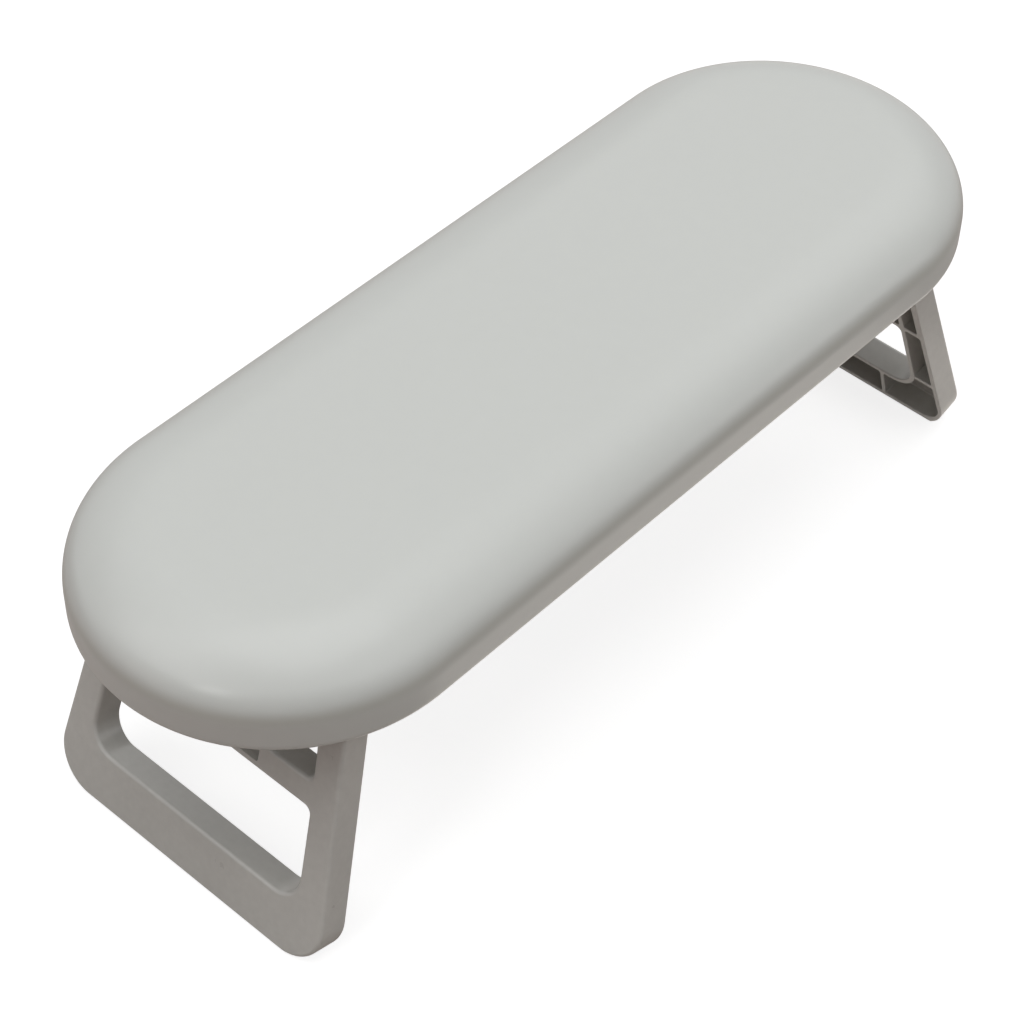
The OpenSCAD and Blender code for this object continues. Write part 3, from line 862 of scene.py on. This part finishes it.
@dataclass
class LegFrame:
    """A moulded leg: flat outer face, walls and ribs behind it, a window and a slotted top bar.

    It is worked out in leg sizes: depth d outwards from the hinge's plane, y across the board and
    v up the leg from its foot. Its edges are rounded, more on the outer face than on the back. Its
    plan runs a little below the foot, which is cut level where it is placed.
    """

    side: Side
    depth: float = 9.8 * MM
    web: float = 2 * MM
    wall: float = 1.8 * MM
    upper_wall: float = 2.6 * MM
    rib: float = 1.5 * MM
    foot_bar: float = 18.3 * MM
    window: float = 33.7 * MM
    top_bar: float = 9.3 * MM
    post_low: float = 10.8 * MM
    post: float = 9.7 * MM
    draw: float = 8.3 * MM
    widest: float = 54.2 * MM
    foot_radius: float = 14 * MM
    window_low_radius: float = 8.5 * MM
    window_top_radius: float = 2.4 * MM
    bar_radius: float = 2 * MM
    knuckle: float = 8 * MM
    post_rib: float = 25.2 * MM
    foot_rib_pitch: float = 19.7 * MM
    slot: float = 38.8 * MM
    ledge: float = 0.6 * MM
    bore: float = 1.55 * MM
    foot_pad: float = 0.8 * MM
    splay: float = math.radians(17.1)
    face_round: float = 1.3 * MM
    back_round: float = 0.35 * MM
    pocket_round: float = 0.25 * MM
    bend_radius: float = 30 * MM
    pocket_corner: float = 0.7 * MM
    below_cut: float = 9.8 * MM / 30
    hair: float = 0.02 * MM
    edge_steps: int = 6
    pocket_steps: int = 3
    knuckle_steps: int = 30
    bore_steps: int = 48

    def __post_init__(self) -> None:
        """Takes the hinge's place from the frame and works out the sizes that follow from others."""
        self.surface = Surface()
        hinge = next(j for j in frame["joints"] if j["child"] == f"{self.side.label}_leg")
        self.hinge_x, self.hinge_z = abs(hinge["pos_m"][0]), hinge["pos_m"][2]
        drop = self.hinge_z - self.foot_pad + self.depth / 2 * math.sin(self.splay)
        self.hinge_v = drop / math.cos(self.splay)
        self.knuckle_v = self.hinge_v - self.knuckle
        self.knuckle_out = self.widest - self.draw
        self.knuckle_in = self.knuckle_out - self.post
        self.bar_v = self.foot_bar + self.window
        self.bar_top_v = self.bar_v + self.top_bar
        self.foot_v = -self.below_cut
        self.floor_v = self.depth * math.tan(self.splay) + self.wall
        self.slope = self.draw / (self.knuckle_v - self.foot_radius)
        self.cheek_v = self.knuckle_v + self.bend_radius * math.tan(math.atan(self.slope) / 2)

    def half(self, v: float) -> float:
        """Half-width of the leg at a height: it draws in evenly from the foot's corner up."""
        return self.widest - self.slope * (v - self.foot_radius)

    def inner(self, v: float) -> float:
        """Half-width of the space between the posts at a height."""
        return self.half(v) - self.post

    def placed(self, points: np.ndarray) -> np.ndarray:
        """Turns leg sizes into the frame: tilted by the splay about the hinge, mirrored on the left.

        Args:
            points: depth, y and v along the last axis.

        Returns:
            The same points in the frame, with the foot cut level.
        """
        d, y, v = points[..., 0], points[..., 1], points[..., 2]
        v = np.maximum(v, (self.depth / 2 - d) * math.tan(self.splay)) - self.hinge_v
        x = self.hinge_x + d * math.cos(self.splay) - v * math.sin(self.splay)
        z = self.hinge_z + d * math.sin(self.splay) + v * math.cos(self.splay)
        return np.stack([self.side.value * x, y, z], axis=-1)

    def rounding(self, radius: float, steps: int, outwards: int) -> np.ndarray:
        """Inset and depth of a rounded edge, from the flat face to the wall.

        Args:
            radius: the edge's radius.
            steps: number of steps round it.
            outwards: 1 on the outer face, -1 on the back.

        Returns:
            Inset and depth of each step, shape (steps + 1, 2).
        """
        inset, drop = quarter_round(radius, steps)
        return np.stack([inset, outwards * (self.depth / 2 - drop)], axis=1)

    def edge_rows(self) -> np.ndarray:
        """Rows that run over an edge, from the outer face to the back.

        Returns:
            Inset and depth of each row, shape (n, 2).
        """
        face = self.rounding(self.face_round, self.edge_steps, 1)
        back = self.rounding(self.back_round, self.edge_steps, -1)
        return np.concatenate([face, back[::-1]])

    def swept(self, path: np.ndarray, rows: np.ndarray, closed: bool) -> np.ndarray:
        """Carries rows of inset and depth along a plan path.

        Args:
            path: plan points with the air on the right of travel.
            rows: inset and depth, shape (n, 2).
            closed: whether the path closes.

        Returns:
            Grid of points in leg sizes, shape (n, points, 3).
        """
        moved = path[None] - rows[:, None, :1] * air_side(path, closed)[None]
        deep = np.broadcast_to(rows[:, None, 1:], moved.shape[:2] + (1,))
        return np.concatenate([deep, moved], axis=-1)

    def post_path(self, knuckle_y: float, low: Pair, radius: float) -> np.ndarray:
        """Plan of an edge down the right post, across to the left post and up it.

        Args:
            knuckle_y: the edge's place across, at the knuckle.
            low: the corner at the right post's lower end.
            radius: the corner's radius.

        Returns:
            Plan points, shape (n, 2).
        """
        right = [(knuckle_y, self.hinge_v), (knuckle_y, self.knuckle_v), low]
        radii = [0, self.bend_radius, radius]
        left = [(-y, v) for y, v in right[::-1]]
        return rounded_path(right + left, radii + radii[::-1], closed=False)

    def outside_path(self) -> np.ndarray:
        """Plan of the outer edge, from the left post to the right one, with the air on its right."""
        low = (self.half(self.foot_v), self.foot_v)
        return self.post_path(self.knuckle_out, low, self.foot_radius)[::-1]

    def inside_path(self) -> np.ndarray:
        """Plan of the inner edge, from the right post to the left one, with the air on its right."""
        low = (self.inner(self.bar_top_v), self.bar_top_v)
        return self.post_path(self.knuckle_in, low, self.bar_radius)

    def window_path(self) -> np.ndarray:
        """Plan of the window.

        Returns:
            Plan points, clockwise, so that the window's air lies on the right of travel.
        """
        low, high = self.half(self.foot_bar) - self.post_low, self.inner(self.bar_v)
        corners = [(-low, self.foot_bar), (low, self.foot_bar), (high, self.bar_v), (-high, self.bar_v)]
        radii = [self.window_low_radius] * 2 + [self.window_top_radius] * 2
        return rounded_path(corners, radii)[::-1]

    def slot_path(self) -> np.ndarray:
        """Plan of the top bar's slot, with a ledge between it and the pocket behind.

        Returns:
            Plan points, clockwise.
        """
        low, high = self.bar_v + self.wall + self.ledge, self.bar_top_v - self.wall - self.ledge
        half = self.slot / 2
        return rounded_path(rectangle(-half, half, low, high), [self.pocket_corner] * 4)[::-1]

    def window_wall(self, low: float, high: float) -> list[np.ndarray]:
        """Points of the right post's wall round the window, upwards between two heights.

        The wall's line is the window's own outline, moved out by the wall's thickness. Its ends are
        found by linear interpolation between the line's points.

        Args:
            low: height of the first point. Below the window it starts at its lowest middle.
            high: height of the last point.

        Returns:
            Plan points from the lower height to the upper.
        """
        line = self.window_path()[::-1]
        line = line + self.wall * air_side(line, closed=True)
        line = line[(line[:, 0] > 0) & (line[:, 1] < self.bar_v)]
        line = line[np.argsort(line[:, 1] + line[:, 0] * SORT_LEAN)]
        inside = (line[:, 1] > low) & (line[:, 1] < high)
        ends = [np.array([np.interp(v, line[:, 1], line[:, 0]), v]) for v in (low, high)]
        return [ends[0], *line[inside], ends[1]]

    def pocket_paths(self) -> list[np.ndarray]:
        """Plans of the pockets between the ribs of the back.

        Returns:
            Plan points of each pocket, clockwise: the foot bar's middle one, the top bar's, and those
            of the right side and of the left.
        """
        low, high = self.floor_v, self.foot_bar - self.wall
        half_rib, near, far = self.rib / 2, self.foot_rib_pitch / 2, 1.5 * self.foot_rib_pitch
        foot_corner = self.foot_radius - self.wall - self.floor_v
        rib_top, over_bar = self.post_rib + self.rib, self.bar_v + self.wall
        bar_low, bar_high = self.inner(over_bar), self.inner(self.bar_top_v - self.wall)

        middle = rectangle(-near + half_rib, near - half_rib, low, high)
        bar = [(-bar_low, over_bar), (bar_low, over_bar), (bar_high, self.bar_top_v - self.wall),
               (-bar_high, self.bar_top_v - self.wall)]
        second = rectangle(near + half_rib, far - half_rib, low, high)
        # The wall's line starts a hair above the pocket's own corner, so that no point is doubled.
        round_corner = self.window_wall(high + self.hair, self.post_rib)[::-1]
        corner = [(far + half_rib, low), (self.half(low) - self.wall, low),
                  (self.half(self.post_rib) - self.wall, self.post_rib), *round_corner,
                  (far + half_rib, high)]
        beside = self.window_wall(rib_top, self.bar_v - self.wall)[::-1]
        post = [(self.half(rib_top) - self.wall, rib_top),
                (self.half(self.bar_v) - self.wall, self.bar_v),
                (self.inner(self.bar_v) + self.wall, self.bar_v), *beside]
        upper = [(self.inner(over_bar) + self.wall, over_bar),
                 (self.half(over_bar) - self.upper_wall, over_bar),
                 (self.knuckle_out - self.upper_wall, self.knuckle_v),
                 (self.knuckle_in + self.wall, self.knuckle_v)]
        small = self.pocket_corner
        corner_radii = [small, foot_corner, small] + [0] * len(round_corner) + [small]
        right = [(second, [small] * 4), (corner, corner_radii),
                 (post, [small] * 3 + [0] * len(beside)), (upper, [small] * 4)]
        whole = [rounded_path(plan, [small] * 4)[::-1] for plan in (middle, bar)]
        one_side = [rounded_path(plan, radii)[::-1] for plan, radii in right]
        return whole + one_side + [(path * (-1, 1))[::-1] for path in one_side]

    def add_grid(self, grid: np.ndarray, closed: bool = False) -> None:
        """Adds a grid of points in leg sizes to the leg's surface."""
        self.surface.add_grid(self.placed(grid), closed)

    def add_pocket(self, path: np.ndarray, floor_holes: list[np.ndarray]) -> np.ndarray:
        """Adds a pocket in the back: its lip, walls, rounded foot and floor.

        Args:
            path: the pocket's plan, clockwise.
            floor_holes: loops that open the floor.

        Returns:
            The loop of the pocket's lip in the back face.
        """
        lip = self.rounding(self.pocket_round, self.pocket_steps, -1)
        inset, drop = quarter_round(self.pocket_round, self.pocket_steps)
        floor = self.depth / 2 - self.web
        foot = np.stack([-inset, floor - drop], axis=1)[::-1]
        grid = self.swept(path, np.concatenate([lip, foot]), closed=True)
        self.add_grid(grid, closed=True)
        self.add_flat([grid[-1, :, 1:]] + floor_holes, floor)
        return grid[0, :, 1:]

    def add_flat(self, loops: list[np.ndarray], d: float) -> None:
        """Adds a flat patch at one depth between plan loops."""
        plan, triangles = filled(loops)
        self.surface.add(self.placed(np.insert(plan, 0, d, axis=1)), triangles)

    def add_knuckle(self, low_y: float, high_y: float, upright: np.ndarray) -> None:
        """Adds the round end of a post, with its bored cheeks.

        The section across the post is carried over the hinge from the outer face, at 0 degrees, to
        the back, at 180 degrees: a point of radius p at the angle a lies at depth p cos a and height
        p sin a. The rounding of its edges eases from the face's radius to the back's.

        Args:
            low_y: the post's side at the lower y.
            high_y: the post's side at the higher y.
            upright: heights of the points along the cheeks' edges, from the lowest up to the hinge.
        """
        around = np.linspace(0, math.pi, self.knuckle_steps + 1)[:, None]
        radius = self.face_round + (self.back_round - self.face_round) * (1 - np.cos(around)) / 2
        inset, drop = quarter_round(radius, self.edge_steps)
        y = np.concatenate([low_y + inset[:, ::-1], high_y - inset], axis=1)
        reach = self.depth / 2 - np.concatenate([drop[:, ::-1], drop], axis=1)
        grid = np.stack([reach * np.cos(around), y, self.hinge_v + reach * np.sin(around)], axis=-1)
        self.add_grid(grid)
        turn = np.linspace(0, 2 * math.pi, self.bore_steps + 1)[:-1]
        hole = self.bore * np.stack([np.cos(turn), np.sin(turn)], axis=1) + (0, self.hinge_v)
        face, back = self.depth / 2 - self.face_round, -self.depth / 2 + self.back_round
        for column, side_y in ((0, low_y), (-1, high_y)):
            over = grid[:, column][:, [0, 2]]
            down = np.insert(upright[-2::-1, None], 0, back, axis=1)
            up = np.insert(upright[:-1, None], 0, face, axis=1)
            section, triangles = filled([np.concatenate([over, down, up]), hole])
            self.surface.add(self.placed(np.insert(section, 1, side_y, axis=1)), triangles)
        self.add_grid(np.stack([np.insert(hole, 1, y, axis=1) for y in (low_y, high_y)]), closed=True)

    def add_edge(self, path: np.ndarray, closed: bool) -> tuple[np.ndarray, np.ndarray]:
        """Adds the rounded edge along a path, from the outer face to the back.

        On an open path the upright wall leaves room for the knuckle's cheeks, from cheek_v up.

        Args:
            path: plan points with the air on the right of travel.
            closed: whether the path closes.

        Returns:
            The path in the outer face and in the back.
        """
        grid = self.swept(path, self.edge_rows(), closed)
        face, back = grid[: self.edge_steps + 1], grid[self.edge_steps + 1:]
        wall = np.stack([face[-1], back[0]])
        if not closed:
            wall = wall[:, path[:, 1] <= self.cheek_v + WELD]
        for patch in (face, back, wall):
            self.add_grid(patch, closed)
        return face[0, :, 1:], back[-1, :, 1:]

    def build(self, finish: Material) -> bpy.types.Object:
        """Makes the leg frame and lets it stand for its node.

        Args:
            finish: the leg's material.

        Returns:
            The leg.
        """
        inside = self.inside_path()
        face_out, back_out = self.add_edge(self.outside_path(), closed=False)
        face_in, back_in = self.add_edge(inside, closed=False)
        face_window, back_window = self.add_edge(self.window_path(), closed=True)
        slot = self.slot_path()
        slot_rows = np.array([[0, self.depth / 2], [0, self.depth / 2 - self.web]])
        self.add_grid(self.swept(slot, slot_rows, closed=True), closed=True)
        lips = [self.add_pocket(path, [slot] if number == BAR_POCKET else [])
                for number, path in enumerate(self.pocket_paths())]
        face = [np.concatenate([face_out, face_in]), face_window, slot]
        back = [np.concatenate([back_out, back_in]), back_window, *lips]
        self.add_flat(face, self.depth / 2)
        self.add_flat(back, -self.depth / 2)
        upright = np.unique(np.round(inside[inside[:, 1] > self.cheek_v - WELD, 1], KEPT_DECIMALS))
        self.add_knuckle(self.knuckle_in, self.knuckle_out, upright)
        self.add_knuckle(-self.knuckle_out, -self.knuckle_in, upright)
        leg = self.surface.piece(f"{self.side.label}_leg_moulding")
        flatten_shading(leg)
        leg.data.materials.append(finish)
        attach(leg, f"{self.side.label}_leg")
        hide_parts(f"{self.side.label}_leg_frame")
        return leg


# The frame's own pieces


SLOT_FINISHES = {"core": PLY_FINISH, "tray_plastic": TRAY_FINISH, "cap_plastic": CAP_FINISH,
                 "pad_rubber": RUBBER_FINISH, "pin_steel": STEEL_FINISH, "screw_steel": STEEL_FINISH,
                 "spring_steel": SPRING_FINISH}


@dataclass
class Fittings:
    """The frame's own pieces that keep their shape and only get a finish."""

    effects: Effects

    def dress(self) -> None:
        """Gives each shown node its material."""
        built = {}
        for entry in frame["record"]["subparts"]:
            finish = SLOT_FINISHES.get(entry["material_slot"])
            if finish is None:
                continue
            if finish not in built:
                built[finish] = finish.build(self.effects)
            for slot in frame["nodes"][entry["node"]].material_slots:
                slot.material = built[finish]
            LOG.info("dressed %s in %s", entry["node"], finish.name)


# Stage, light and camera


def sight(tree: Tree) -> tuple[Socket, Socket]:
    """Masks of what the eye sees, straight or through glass, and of what reflections show.

    Args:
        tree: the node tree of a material or of the world.

    Returns:
        The sockets of both masks.
    """
    path = add_node(tree, "LightPath").outputs
    seen = worked(tree, "MAXIMUM", path["Is Camera Ray"], path["Is Transmission Ray"])
    return seen, path["Is Glossy Ray"]


@dataclass
class Stage:
    """A plain pale floor and plain surroundings that show white and keep the object's shadow.

    The floor is warm and pale to the object, with painted shade some way beyond its near end.
    What the object reflects of it is a bright pool with a soft edge, as under a lamp that hangs over
    a table, and a painted white glow some way behind its far end, which only reflections show.
    """

    half_size: float = 6.0
    roughness: float = 0.9
    floor_color: Triple = (0.54, 0.482, 0.45)
    # Painted shade on the floor some way beyond the near end: its colour, direction and reach.
    dusk_color: Triple = (0.34, 0.245, 0.215)
    dusk_facing: float = 180
    dusk_reach: Pair = (0.22, 0.3)
    shadow_share: float = 0.45
    backdrop: float = 0.8
    shadow_reach: Pair = (0.4, 1.0)
    pool_color: Triple = (1.0, 0.95, 0.89)
    pool_strength: float = 0.85
    pool_middle: float = 0.055
    pool_half: Pair = (0.165, 0.165)
    pool_softness: float = 0.12
    # A white glow painted on the floor behind the far end, which only reflections show: its strength, direction
    # and reach.
    paper_strength: float = 0.55
    paper_facing: float = 30
    paper_reach: Pair = (0.3, 0.6)
    sky_strength: float = 0.02

    def pool(self, tree: Tree, place: Socket) -> Socket:
        """Mask of the pool of light: 1 within a soft-edged ellipse on the floor and 0 beyond it.

        The ellipse's own radius is the length of ((x - middle) / half length, y / half width), and the
        mask falls smoothly while it goes from 1 - softness to 1 + softness.

        Args:
            tree: the floor's node tree.
            place: the Object coordinates' socket.

        Returns:
            The mask's socket.
        """
        away = vector_worked(tree, "SUBTRACT", place, (self.pool_middle, 0, 0))
        scaled = vector_worked(tree, "DIVIDE", away, (*self.pool_half, 1))
        radius = vector_worked(tree, "LENGTH", scaled)
        return ramp(tree, radius, 1 - self.pool_softness, 1 + self.pool_softness, 1, 0, smooth=True)

    def growing(self, tree: Tree, place: Socket, facing: float, reach: Pair) -> Socket:
        """Mask that grows from 0 to 1 along one direction over the floor.

        Args:
            tree: the floor's node tree.
            place: the Object coordinates' socket.
            facing: the direction, in degrees from +X towards +Y.
            reach: distances from the origin at which the mask starts and ends to grow.

        Returns:
            The mask's socket.
        """
        turn = math.radians(facing)
        along = vector_worked(tree, "DOT_PRODUCT", place, (math.cos(turn), math.sin(turn), 0))
        return ramp(tree, along, *reach)

    def floor_material(self) -> Material:
        """Makes the floor's material: pale to the object, white with a soft shadow to the eye.

        The white that it gives off itself grows from the backdrop's share to 1 over the shadow's
        reach, so that the floor runs into the white surroundings. From below it isn't there.

        Returns:
            The material.
        """
        material, tree, shader = new_material("pale floor")
        seen, glossy = sight(tree)
        place = add_node(tree, "TexCoord").outputs["Object"]
        # Painted shade on the floor beyond the near end, which dims the light that the floor throws back.
        floor_shade = self.growing(tree, place, self.dusk_facing, self.dusk_reach)
        # The painted glow behind the far end, seen only in reflections.
        far_glow = self.growing(tree, place, self.paper_facing, self.paper_reach)
        ground = blended(tree, floor_shade, opaque(self.floor_color), opaque(self.dusk_color))
        base = blended(tree, seen, ground, opaque((self.shadow_share,) * 3))
        plain = worked(tree, "MAXIMUM", seen, far_glow)
        glow = blended(tree, plain, opaque(self.pool_color), (1, 1, 1, 1))
        pooled = worked(tree, "MULTIPLY", self.pool(tree, place), self.pool_strength)
        # Light that reflections show on the floor: the pool and the painted glow behind the far end.
        lit = worked(tree, "MULTIPLY_ADD", far_glow, self.paper_strength, pooled)
        away = vector_worked(tree, "LENGTH", place)
        white = ramp(tree, away, *self.shadow_reach, low=self.backdrop, smooth=True)
        total = worked(tree, "MULTIPLY_ADD", seen, white, worked(tree, "MULTIPLY", lit, glossy))
        feed(tree, shader, {"Base Color": base, "Roughness": self.roughness, "Specular IOR Level": 0,
                            "Emission Color": glow, "Emission Strength": total})
        below = add_node(tree, "NewGeometry").outputs["Backfacing"]
        clear = add_node(tree, "BsdfTransparent").outputs[0]
        sided = add_node(tree, "MixShader", {0: below, 1: shader.outputs[0], 2: clear})
        feed(tree, tree.nodes["Material Output"], {"Surface": sided.outputs[0]})
        return material

    def world(self) -> bpy.types.World:
        """Makes the surroundings: white to the eye and in reflections, and a dim even sky as light.

        Returns:
            The world.
        """
        world = bpy.data.worlds.new("studio")
        world.use_nodes = True
        tree = world.node_tree
        shown = worked(tree, "MAXIMUM", *sight(tree))
        strength = ramp(tree, shown, 0, 1, low=self.sky_strength)
        feed(tree, tree.nodes["Background"], {"Color": (1, 1, 1, 1), "Strength": strength})
        return world

    def build(self) -> None:
        """Makes the floor and the surroundings."""
        mesh = bpy.data.meshes.new("floor")
        reach = self.half_size
        corners = [(-reach, -reach, 0), (reach, -reach, 0), (reach, reach, 0), (-reach, reach, 0)]
        mesh.from_pydata(corners, [], [(0, 1, 2, 3)])
        floor = new_object("floor", mesh)
        floor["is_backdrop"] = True
        mesh.materials.append(self.floor_material())
        bpy.context.scene.world = self.world()


def direction(azimuth: float, elevation: float) -> Vector:
    """Direction away from the object: azimuth 0 is its front and 90 its right, elevation is upwards."""
    a, e = math.radians(azimuth), math.radians(elevation)
    return Vector((math.sin(a) * math.cos(e), -math.cos(a) * math.cos(e), math.sin(e)))


@dataclass(frozen=True)
class SoftLight:
    """A square soft light that faces the object."""

    name: str
    azimuth: float
    elevation: float
    size: float
    energy: float
    distance: float = 1.4
    color: Triple = (1, 1, 1)

    def build(self, aim: Vector) -> None:
        """Places the light, facing the object.

        Args:
            aim: the point that it faces, from which its distance counts.
        """
        data = bpy.data.lights.new(self.name, "AREA")
        data.shape = "SQUARE"
        data.size = self.size
        data.energy = self.energy
        data.color = self.color
        back = direction(self.azimuth, self.elevation)
        light = new_object(self.name, data)
        light.location = aim + back * self.distance
        light.rotation_mode = "QUATERNION"
        light.rotation_quaternion = back.to_track_quat("Z", "Y")


LIGHTS = (
    SoftLight("ceiling", azimuth=0, elevation=90, size=2.4, energy=8.6, distance=1.0),
    SoftLight("overhead", azimuth=0, elevation=89, size=1.2, energy=7.0, distance=1.5),
    SoftLight("back left", azimuth=-118, elevation=46, size=0.8, energy=2.9),
    SoftLight("left", azimuth=-82, elevation=34, size=0.25, energy=1.6),
    SoftLight("front", azimuth=5, elevation=40, size=0.9, energy=1.95),
    SoftLight("right", azimuth=85, elevation=40, size=0.9, energy=2.1),
    SoftLight("low left", azimuth=-110, elevation=12, size=0.5, energy=0.3, color=(1, 0.72, 0.62)),
    SoftLight("low right", azimuth=40, elevation=12, size=0.5, energy=1.1),
    SoftLight("low back", azimuth=120, elevation=28, size=0.6, energy=0.5),
)


@dataclass(frozen=True)
class PhotoCamera:
    """The camera at the photograph's place: the frame's origin falls on a known pixel of it."""

    azimuth: float = -48.541
    elevation: float = 46.428
    roll: float = 1.175
    distance: float = 0.86809
    focal_pixels: float = 2713.5
    origin_pixel: Pair = (537.474, 579.667)
    origin_height: float = 0.77 * MM
    sensor: float = 36.0
    clip: Pair = (0.05, 30)

    def build(self) -> None:
        """Makes the camera and sets it as the scene's own."""
        data = bpy.data.cameras.new("camera")
        data.sensor_width = self.sensor
        data.lens = self.focal_pixels / PHOTO_PIXELS * self.sensor
        data.clip_start, data.clip_end = self.clip
        a, r = math.radians(self.azimuth), math.radians(self.roll)
        back = direction(self.azimuth, self.elevation)
        level = Vector((math.cos(a), math.sin(a), 0))
        upright = back.cross(level)
        right = level * math.cos(r) + upright * math.sin(r)
        up = upright * math.cos(r) - level * math.sin(r)
        per_pixel = self.distance / self.focal_pixels
        x, y = ((p - PHOTO_PIXELS / 2) * per_pixel for p in self.origin_pixel)
        place = back * self.distance - right * x + up * y + Vector((0, 0, self.origin_height))
        turn = Matrix((right, up, back)).transposed().to_4x4()
        camera = new_object("camera", data)
        camera.matrix_world = Matrix.Translation(place) @ turn
        bpy.context.scene.camera = camera


def main() -> None:
    """Builds the camera, the pieces, the stage and the lights, which face the middle of the frame's bounds."""
    logging.basicConfig(level=logging.INFO, format="%(name)s: %(message)s")
    bpy.context.scene.view_settings.view_transform = "Standard"
    frame_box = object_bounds()
    PhotoCamera().build()
    effects = Effects(tone_drift_group(), fine_relief_group(), patchy_gloss_group())
    cushion = PaddedBoard().build(COVER_FINISH.build(effects))
    LOG.info("made %s, %d faces", cushion.name, len(cushion.data.polygons))
    leg_material = LEG_FINISH.build(effects)
    for side in Side:
        leg = LegFrame(side).build(leg_material)
        LOG.info("made %s, %d faces", leg.name, len(leg.data.polygons))
    Fittings(effects).dress()
    Stage().build()
    aim = (frame_box[0] + frame_box[1]) / 2
    for light in LIGHTS:
        light.build(aim)


if __name__ == "__main__":
    main()
